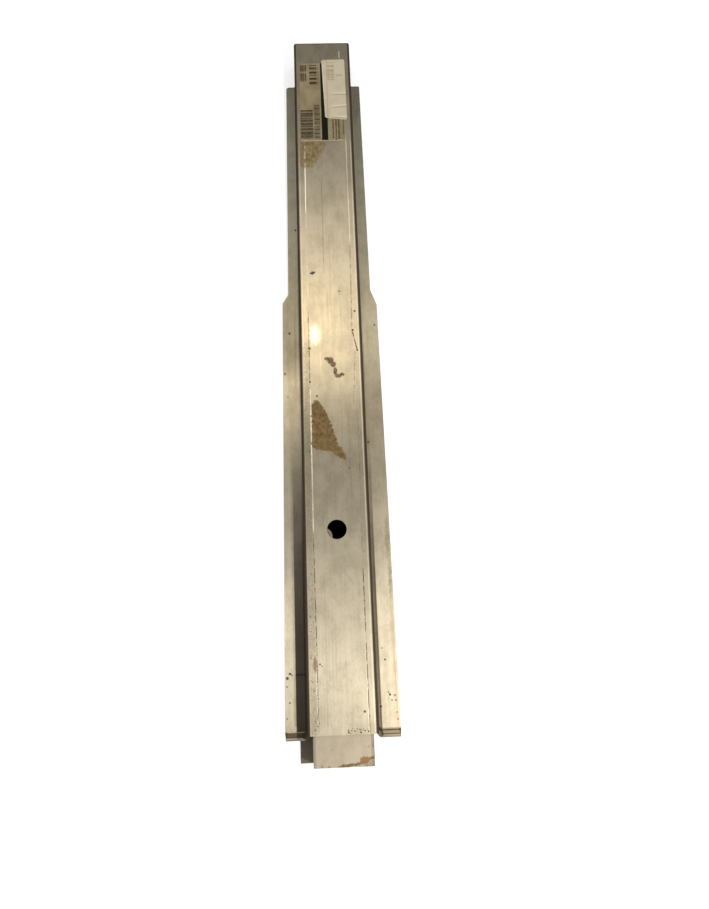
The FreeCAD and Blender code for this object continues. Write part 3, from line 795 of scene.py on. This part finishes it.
# Painted highlight on the bend, and painted shade in the corner above it.
lip_colour = outer.layer(BEND_HIGHLIGHT, DIRT_AND_SHADE, outer.between(outer.z, 3.4, 6.0, 0.8))
lip_colour = outer.layer(lip_colour, lip_face, outer.slope(outer.z, 5.8, 7.0))
dark_band = outer.times(outer.between(outer.z, 17.5, 21.5, 1.0), 0.8)
lip_colour = outer.layer(lip_colour, LIP_SHADE, dark_band)
# Painted highlight on the bright band near the top of the lip.
highlight_band = outer.times(outer.slope(outer.z, 21.5, 23.5), 0.9)
lip_colour = outer.layer(lip_colour, EDGE_HIGHLIGHT, highlight_band)
lip_top = outer.slope(outer.z, 26.2, 26.8)
lip_ends = outer.most(outer.slope(from_middle, 60.4, 61.2), outer.slope(from_middle, 43.4, 42.2))
lip_rim = outer.most(lip_top, lip_ends)
lip_colour = outer.layer(lip_colour, LIP_SHADE, outer.times(lip_rim, 0.85))
lip_mottle = outer.slope(outer.noise((0.12, 0.12, 0.12), detail=5.0), 0.3, 0.7, 0.85, 1.0)
steel_colour = outer.layer(steel_colour, outer.darken(lip_colour, lip_mottle), on_lip)
print("lips coloured")

# %% [markdown]
# ## Cut edges
#
# A sheared edge is darker than the sheet's faces. The Geometry node's normal finds it, because it
# is the only part of a flange or of the web that faces sideways. The far ends of the web and the
# flanges get a dark rim of their own, a millimetre wide, so that they still show from above.

# %% Colour the cut edges
EDGE_DARK = shade(84, 76, 63)

facing = outer.tree.nodes.new("ShaderNodeNewGeometry").outputs["Normal"]
parts_of_facing = outer.tree.nodes.new("ShaderNodeSeparateXYZ")
outer.feed(parts_of_facing.inputs[0], facing)
sideways = outer.slope(outer.calc("ABSOLUTE", parts_of_facing.outputs[2]), 0.05, 0.2, 1.0, 0.0)
flat_zone = outer.most(outer.slope(outer.z, 1.4, 1.7, 1.0, 0.0), outer.slope(outer.z, 38.2, 38.6))
cut_edge = outer.times(sideways, flat_zone)
far_rim = outer.times(outer.slope(outer.y, 452.6, 453.6), 0.8)
flange_rim = outer.times(outer.slope(outer.y, 416.6, 417.4), outer.slope(outer.z, 1.8, 3.0, 0.7, 0.0))
cut_edge = outer.most(cut_edge, far_rim, flange_rim)
steel_colour = outer.layer(steel_colour, EDGE_DARK, cut_edge)
print("cut edges coloured")

# %% [markdown]
# ## Gloss and relief
#
# Roughness follows the streaks, so the highlights break up along the rolling direction, and rust, the
# painted shade and the painted shadow are matt and no metal. The bump adds the same streaks and the edge
# of the big patch at a few hundredths of a millimetre, and the crease lines at a quarter of a
# millimetre. It leaves the small spots out, because a bump works its whole input out three times. Where
# the lamp glints, a smear of oil lies on the web: a clear coat over that stretch alone.

# %% Finish the outer steel
OIL_WEIGHT = 0.11
STREAK_HEIGHT = 0.02
CREASE_DEPTH = 0.25
PATCH_DEPTH = 0.03
BUMP_STRENGTH = 0.6

matt = outer.most(rust_area, drawn, painted_shadow)
bare = outer.calc("SUBTRACT", 1.0, outer.calc("MINIMUM", matt, 1.0))
metal = outer.times(bare, STEEL_METALLIC)
roughness = outer.slope(streaks, 0.2, 0.8, 0.28, 0.4)
roughness = outer.calc("ADD", roughness, outer.times(matt, 0.35))
height = outer.times(streaks, STREAK_HEIGHT)
height = outer.calc("SUBTRACT", height, outer.times(dirt_line, CREASE_DEPTH))
height = outer.calc("SUBTRACT", height, outer.times(big_patch, PATCH_DEPTH))
oil = outer.times(outer.between(outer.y, 0.0, 60.0, 14.0), outer.between(outer.x, -27.0, 4.0, 3.0))
oil = outer.times(oil, web_face, OIL_WEIGHT)
outer.give("Base Color", steel_colour)
outer.give("Metallic", metal)
outer.give("Roughness", roughness)
outer.give("Coat Weight", oil)
outer.give("Coat Roughness", 0.06)
outer.give("Specular IOR Level", 0.0)
outer.relief(height, BUMP_STRENGTH)
for slot in steel_nodes["outer_channel"].material_slots:
    slot.material = outer.material
print("outer steel:", len(outer.tree.nodes), "nodes")

# %% [markdown]
# ## The inner channel
#
# The inner channel is cut from the same coil, but only its tongue has seen light and hands. It is
# duller, and the low flange at its left carries a painted shadow. The sheet's rounded edge on the right
# is kept from shining, because a bright line there would look like a gap, and is painted pale instead,
# as a painted highlight.

# %% Base of the inner steel
INNER_PALE = shade(174, 162, 141)
INNER_DULL = shade(157, 146, 126)
FLANGE_SHADOW = shade(114, 105, 89)

inner = Finish("inner_steel_rolled")
inner_colour, inner_streaks = rolled_base(inner, INNER_PALE, INNER_DULL)
flange_side = inner.slope(inner.x, 24.0, 28.0, 0.9, 0.0)
# Painted shadow on the low flange at the left.
shadowed_flange = inner.times(inner.slope(inner.z, 33.0, 37.5, 1.0, 0.0), flange_side)
inner_colour = inner.layer(inner_colour, FLANGE_SHADOW, shadowed_flange)
print("inner steel base mixed")

# %% [markdown]
# ## Rust on the tongue
#
# A thin ragged band of brown runs along the tongue's end and swells to an orange blotch at its
# right. It is three outlines laid together, with a few specks, and everything below it to the
# right is a little grimy.

# %% Rust on the tongue
TONGUE_BROWN = shade(122, 104, 70)
TONGUE_ORANGE = shade(168, 126, 78)
BAND_LEFT = [(-8.0, -454.0), (8.0, -453.6), (17.0, -452.6), (17.0, -449.6), (8.0, -450.6),
             (-2.4, -451.6)]
BAND_MIDDLE = [(16.0, -452.0), (24.0, -451.0), (27.0, -448.0), (26.0, -445.6), (20.8, -444.2),
               (17.4, -445.4)]
BAND_RIGHT = [(24.0, -449.0), (32.5, -446.6), (32.5, -443.6), (25.5, -445.6)]
TONGUE_SPECKS = [(30.6, -434.2, 1.3), (25.7, -435.1, 0.7), (-12.3, -436.8, 0.6), (-23.1, -452.6, 1.0),
                 (-15.7, -453.4, 1.2), (30.7, -431.0, 0.8), (23.4, -453.6, 0.8), (29.6, -452.6, 0.8)]

edge_x, edge_y = ragged(inner, 1.3, 0.4)
bands = (patch(inner, edge_x, edge_y, outline, 0.8) for outline in (BAND_LEFT, BAND_MIDDLE, BAND_RIGHT))
band = either(inner, bands)
corner_grime = inner.times(inner.slope(inner.x, 12, 26), inner.slope(edge_y, -447.0, -450.0, 0.0, 0.35))
band = inner.most(band, corner_grime)
flat_place = inner.mapped(inner.place, (1, 1, 0))
specks = either(inner, round_spots(inner, flat_place, TONGUE_SPECKS))
band = inner.most(band, inner.times(specks, 0.8))
mottle = inner.slope(inner.noise((0.3, 0.4, 0.0), detail=5.0, rough=0.7), 0.35, 0.65)
band = inner.times(band, inner.slope(mottle, 0.0, 1.0, 0.65, 1.0))
blotch = spot(inner, edge_x, edge_y, (22.0, -447.5), (5.5, 4.0), 0.8)
inner_rust = inner.layer(TONGUE_BROWN, TONGUE_ORANGE, blotch)
inner_rust = inner.layer(RUST_BROWN, inner_rust, inner.slope(mottle, 0.0, 1.0, 0.4, 1.0))
print("tongue rust drawn")

# %% [markdown]
# ## Finish the inner steel
#
# The part of the channel that lies under the outer sheet is in the shade and stays dark. The rest
# goes together as on the outer channel: colour, metal where it is clean, and streaks for gloss and
# bump.

# %% Finish the inner steel
inner_colour = inner.darken(inner_colour, inner.slope(inner.y, -420.0, -300.0, 1.0, 0.5))
# Painted highlight on the rounded right edge, which is kept matt.
edge_highlight = inner.slope(inner.x, 28.2, 29.2)
inner_colour = inner.layer(inner_colour, INNER_PALE, inner.times(edge_highlight, 0.7))
inner_colour = inner.layer(inner_colour, inner_rust, inner.times(band, inner.slope(inner.z, 36, 38)))
matt_parts = inner.most(shadowed_flange, band, edge_highlight)
inner_metal = inner.times(inner.calc("SUBTRACT", 1.0, matt_parts), STEEL_METALLIC)
inner.give("Base Color", inner_colour)
inner.give("Metallic", inner_metal)
inner_roughness = inner.slope(inner_streaks, 0.2, 0.8, 0.36, 0.5)
inner_roughness = inner.calc("ADD", inner_roughness, inner.times(matt_parts, 0.25))
inner.give("Roughness", inner_roughness)
inner.give("Specular IOR Level", 0.0)
inner.relief(inner.times(inner_streaks, STREAK_HEIGHT), BUMP_STRENGTH)
for slot in steel_nodes["inner_channel"].material_slots:
    slot.material = inner.material
print("inner steel:", len(inner.tree.nodes), "nodes")

# %% [markdown]
# ## Paper labels
#
# Each label is a sheet 0.2 mm thick, far too thin to model as a block. It starts as one flat face,
# cut to the label's corners. Bevelling the corner points rounds them, and a run of cuts turns the
# face into small cells, so that the sheet can lift, wrinkle and curl where the real paper does. A
# Solidify modifier then gives it its thickness, downwards, so the printed side stays where it is.

# %% A helper that cuts a label
PAPER = 0.2
CELL = 1.6


def cut_sheet(corners, radius):
    """A flat sheet with rounded corners, in millimetres, cut into small cells."""
    sheet = bmesh.new()
    points = [sheet.verts.new((x, y, 0)) for x, y in corners]
    sheet.faces.new(points)
    bmesh.ops.bevel(sheet, geom=points, offset=radius, offset_type="OFFSET", segments=4,
                    profile=0.5, material=-1, affect="VERTICES")
    for axis in (0, 1):
        places = [vert.co[axis] for vert in sheet.verts]
        first = min(places)
        steps = int((max(places) - first) / CELL)
        direction = [0, 0, 0]
        direction[axis] = 1
        for step in range(1, steps + 1):
            cut = [0, 0, 0]
            cut[axis] = first + step * CELL
            parts = sheet.verts[:] + sheet.edges[:] + sheet.faces[:]
            bmesh.ops.bisect_plane(sheet, geom=parts, dist=0.0001, plane_co=cut, plane_no=direction)
    return sheet


def ridge(value, middle, width):
    """A smooth ridge, 1 at its middle and nearly 0 a width away."""
    return math.exp(-(((value - middle) / width) ** 2) * 3)


def finish_label(name, sheet, node, paper):
    """Turns a shaped sheet into a piece that stands for a label of the CAD model."""
    bmesh.ops.scale(sheet, vec=(0.001, 0.001, 0.001), verts=sheet.verts[:])
    bmesh.ops.recalc_face_normals(sheet, faces=sheet.faces[:])
    if sum(face.normal.z for face in sheet.faces) < 0:
        bmesh.ops.reverse_faces(sheet, faces=sheet.faces[:])
    for face in sheet.faces:
        face.smooth = True
    mesh = bpy.data.meshes.new(name)
    sheet.to_mesh(mesh)
    sheet.free()
    piece = bpy.data.objects.new(name, mesh)
    scene.collection.objects.link(piece)
    thickness = piece.modifiers.new("paper thickness", "SOLIDIFY")
    thickness.thickness = PAPER / 1000
    thickness.offset = -1
    mesh.materials.append(paper)
    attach(piece, "root")
    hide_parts(node)
    print(name, "cells:", len(mesh.polygons))


# %% [markdown]
# ## The wide label
#
# It lies flat, apart from slow waves where the glue has let go and a raised rim at its lower end,
# which the paper's torn edge follows. Each cell's corner is lifted by an amount worked out from its
# place, which is quicker than a cloth simulation for a paper that hardly leaves the steel.

# %% Shape the parts label
WEB_TOP = 40.0

parts_corners = [(-31.0, 299.8), (27.0, 299.8), (27.0, 421.7), (-31.0, 421.7)]
parts_sheet = cut_sheet(parts_corners, 2.5)
for vert in parts_sheet.verts:
    x, y = vert.co.x, vert.co.y
    wave = noise.noise(Vector((x * 0.06, y * 0.05, 3.0)))
    rim = ridge(y, 301.0, 2.4) * (0.6 + 0.4 * noise.noise(Vector((x * 0.2, 0.0, 7.0))))
    vert.co.z = WEB_TOP + PAPER + max(0.0, 0.12 * wave) + 0.35 * rim
    if y < 301.5:
        vert.co.y += 0.5 * noise.noise(Vector((x * 0.35, 4.0, 1.0))) + 0.2
print("parts label shaped")

# %% [markdown]
# ## The narrow label
#
# It is stuck a little askew over the wide one, so it steps down off its edge on two sides. Two
# creases run across it, a fold runs along its left, and the lower left corner has curled up.

# %% Shape the stock label
stock_corners = [(2.0, 335.0), (30.6, 331.9), (29.9, 427.7), (-0.9, 427.0)]
stock_sheet = cut_sheet(stock_corners, 2.6)
for vert in stock_sheet.verts:
    x, y = vert.co.x, vert.co.y
    on_parts_label = min(1.0, max(0.0, (28.6 - x) / 1.5)) * min(1.0, max(0.0, (423.2 - y) / 1.5))
    reach = min(1.0, max(0.0, (x - 8.0) / 10.0))
    creases = 0.5 * ridge(y, 373.5, 2.2) * reach
    creases += 0.7 * ridge(y, 352.0 + 0.1 * x, 2.6) * (0.4 + 0.6 * reach)
    fold = 0.2 * ridge(x, 5.5, 1.4)
    corner = 0.6 * ridge(x, 2.5, 5.0) * ridge(y, 335.0, 6.0)
    wave = 0.12 * noise.noise(Vector((x * 0.1, y * 0.07, 9.0)))
    vert.co.z = WEB_TOP + PAPER * (1 + on_parts_label) + creases + fold + corner + max(0.0, wave)
print("stock label shaped")

# %% [markdown]
# ## Paper and print
#
# The print carries no words. Rows of bars of uneven width stand where a printer would put its
# codes, and broken dark blocks stand where larger print would be, so the labels read as labels
# from a distance and say nothing up close. Ink soaks in unevenly, so every block is thinned by
# the same worn noise.

# %% Print helpers
def bars(finish, along, pitch, ink=0.5, shift=0.0):
    """Bars of uneven width across a strip: 1 on a bar, 0 between."""
    node = finish.tree.nodes.new("ShaderNodeTexNoise")
    node.noise_dimensions = "1D"
    finish.feed(node.inputs["W"], finish.calc("ADD", finish.times(along, 1.0 / pitch), shift))
    node.inputs["Scale"].default_value = 1.0
    node.inputs["Detail"].default_value = 1.0
    return finish.slope(node.outputs["Fac"], 1 - ink - 0.05, 1 - ink + 0.05)


def inked(finish, colour, ink, masks, amount):
    """Ink laid over a colour wherever all the masks meet."""
    for mask in masks:
        amount = finish.times(mask, amount)
    return finish.layer(colour, ink, amount)


print("print helpers ready")

# %% [markdown]
# ## Finish of the wide label
#
# Yellowed paper, mottled by its fibres, carries a wide and a narrow strip of bars, blocks of larger
# and smaller print, three lines at the right and a black stripe. Below it ends in a torn white rim.

# %% Parts label finish
PAPER_BUFF = shade(140, 126, 94)
PAPER_WORN = shade(156, 142, 112)
PAPER_TORN = shade(196, 182, 154)
INK = shade(40, 35, 27)
INK_FAINT = shade(70, 62, 50)
STRIPE_GREEN = shade(18, 21, 9)
EDGE_OLIVE = shade(74, 68, 30)

buff = Finish("label_buff_paper")
fibres = buff.noise((0.07, 0.05, 0.0), detail=6.0, rough=0.6)
worn = buff.slope(buff.noise((0.35, 0.5, 0.0), detail=4.0, shift=(4, 4, 0)), 0.32, 0.55, 0.45, 1.0)
colour = buff.layer(PAPER_BUFF, PAPER_WORN, buff.slope(fibres, 0.35, 0.65))
main_code = [buff.box(-30.2, -14.0, 304.5, 348), bars(buff, buff.y, 2.6, 0.52), worn]
colour = inked(buff, colour, INK_FAINT, [buff.box(-30.0, -14.2, 304.5, 348, 1.0)], 0.45)
colour = inked(buff, colour, INK, main_code, 0.85)
side_code = [buff.box(-12.6, -4.8, 303.5, 356), bars(buff, buff.y, 1.9, 0.5, 7.3), worn]
colour = inked(buff, colour, INK_FAINT, [buff.box(-12.4, -5.0, 303.5, 356, 1.0)], 0.3)
colour = inked(buff, colour, INK, side_code, 0.8)
large_print = [buff.box(-17.5, -5.5, 388, 420), bars(buff, buff.y, 3.3, 0.52, 2.2),
               bars(buff, buff.x, 4.0, 0.66, 1.4)]
colour = inked(buff, colour, INK, large_print, 0.9)
small_print = [buff.box(-29.5, -21.5, 393, 419), bars(buff, buff.x, 2.6, 0.55, 5.0),
               bars(buff, buff.y, 4.5, 0.66)]
colour = inked(buff, colour, INK, small_print, 0.75)
for line_left, line_right, line_low in ((11.0, 12.8, 304), (14.9, 16.7, 301.5), (18.2, 20.4, 303.5)):
    line = [buff.box(line_left, line_right, line_low, 340), worn]
    colour = inked(buff, colour, INK, line, 0.75)
colour = inked(buff, colour, EDGE_OLIVE, [buff.box(24.6, 26.0, 309.5, 335), worn], 0.8)
colour = buff.layer(colour, STRIPE_GREEN, buff.box(-2.9, 5.2, 299, 422.5))
torn_height = buff.calc("ADD", buff.y, buff.slope(fibres, 0.3, 0.7, -1.0, 1.0))
torn_rim = buff.slope(torn_height, 301.6, 300.6, 0.0, 0.8)
colour = buff.layer(colour, PAPER_TORN, torn_rim)
buff.give("Base Color", colour)
buff.give("Roughness", 0.7)
buff.give("Specular IOR Level", 0.08)
finish_label("parts_label_sheet", parts_sheet, "parts_label", buff.material)

# %% [markdown]
# ## Finish of the narrow label
#
# Cream paper with a few faint rows of print. Each crease carries a painted highlight, a pale line where
# the paper stands up, with painted shade, a grey line, below it, and the left edge is worn to the white
# of the paper.

# %% Stock label finish
PAPER_CREAM = shade(208, 196, 169)
PAPER_YELLOWED = shade(196, 184, 152)
PAPER_EDGE_AND_HIGHLIGHT = shade(226, 216, 192)
PRINT_AND_SHADE_GREY = shade(132, 122, 98)

cream = Finish("label_cream_paper")
fibres = cream.noise((0.06, 0.05, 0.0), detail=6.0, rough=0.6)
colour = cream.layer(PAPER_CREAM, PAPER_YELLOWED, cream.slope(fibres, 0.4, 0.7))
print_rows = [cream.box(6.5, 16.0, 394, 423), bars(cream, cream.y, 3.4, 0.5),
              bars(cream, cream.x, 3.0, 0.6)]
colour = inked(cream, colour, PRINT_AND_SHADE_GREY, print_rows, 0.55)
short_print = [cream.box(18, 26.5, 399, 407), bars(cream, cream.y, 2.2, 0.45)]
colour = inked(cream, colour, PRINT_AND_SHADE_GREY, short_print, 0.5)
fold_line = near_line(cream, cream.x, 5.6, 0.9)
colour = cream.layer(colour, PRINT_AND_SHADE_GREY, cream.times(fold_line, 0.35))
for crease_height, crease_tilt in ((373.7, 0.0), (352.0, 0.1), (339.5, -0.1)):
    slant = cream.calc("SUBTRACT", cream.y, cream.times(cream.x, crease_tilt))
    # Painted highlight on the raised crease, and painted shade below it.
    crease_top_highlight = cream.times(near_line(cream, slant, crease_height, 1.6), cream.slope(cream.x, 6, 18))
    colour = cream.layer(colour, PAPER_EDGE_AND_HIGHLIGHT, cream.times(crease_top_highlight, 0.8))
    crease_foot_shade = cream.times(near_line(cream, slant, crease_height - 2.4, 1.6), cream.slope(cream.x, 6, 18))
    colour = cream.layer(colour, PRINT_AND_SHADE_GREY, cream.times(crease_foot_shade, 0.35))
rim_left = cream.slope(line_offset(cream, (2.0, 335.0), (-0.9, 427.0)), 0.4, 1.8, 0.8, 0.0)
colour = cream.layer(colour, PAPER_EDGE_AND_HIGHLIGHT, rim_left)
cream.give("Base Color", colour)
cream.give("Roughness", 0.6)
cream.give("Specular IOR Level", 0.2)
finish_label("stock_label_sheet", stock_sheet, "stock_label", cream.material)
